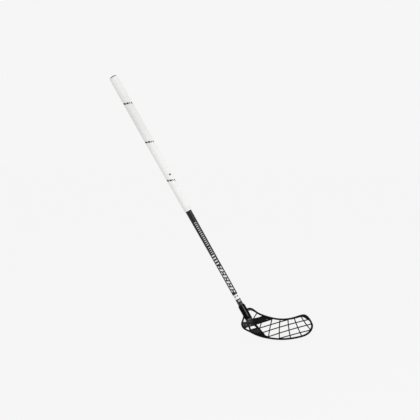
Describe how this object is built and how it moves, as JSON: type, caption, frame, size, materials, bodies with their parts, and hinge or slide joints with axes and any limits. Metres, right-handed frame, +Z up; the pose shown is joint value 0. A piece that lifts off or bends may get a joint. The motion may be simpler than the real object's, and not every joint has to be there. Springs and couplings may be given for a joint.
{
  "type": "floorball stick",
  "caption": "Floorball stick: slim tapered shaft with a wound white grip and a hooked black lattice blade on a socket, for playing a light ball along the floor.",
  "frame": {"origin": "on the shaft's axis, in the middle of the straight part of the grip", "axes": "+Z up as the stick is played, +X from the blade's heel to its toe, +Y the side that the blade hooks towards"},
  "size_m": [0.7012, 0.0496, 0.9118],
  "materials": {
    "shaft_composite": "satin clear coat over black fibre composite",
    "core_plastic": "as moulded",
    "plug_plastic": "fine moulded grain",
    "grip_strip": "soft matt foamed strip",
    "finish_tape": "satin tape",
    "label_film": "gloss film",
    "blade_plastic": "fine moulded grain",
    "screw_steel": "black plated"
  },
  "bodies": {
    "stick": {"shaft_tube": "shaft_composite", "shaft_end_plug": "core_plastic", "grip_wrap": "grip_strip", "grip_finish_tape": "finish_tape", "ring_label": "label_film", "blade": "blade_plastic"},
    "butt_plug": {"butt_plug": "plug_plastic"},
    "upper_screw": {"blade_screw_upper": "screw_steel"},
    "lower_screw": {"blade_screw_lower": "screw_steel"}
  },
  "joints": [
    {"name": "butt_plug_pull", "type": "slide", "parent": "stick", "child": "butt_plug", "axis": [-0.4879, 0, 0.8729], "range_m": [0, 0.03]},
    {"name": "upper_screw_out", "type": "slide", "parent": "stick", "child": "upper_screw", "axis": [0, 1, 0], "range_m": [0, 0.018]},
    {"name": "lower_screw_out", "type": "slide", "parent": "stick", "child": "lower_screw", "axis": [0, 1, 0], "range_m": [0, 0.018]}
  ]
}
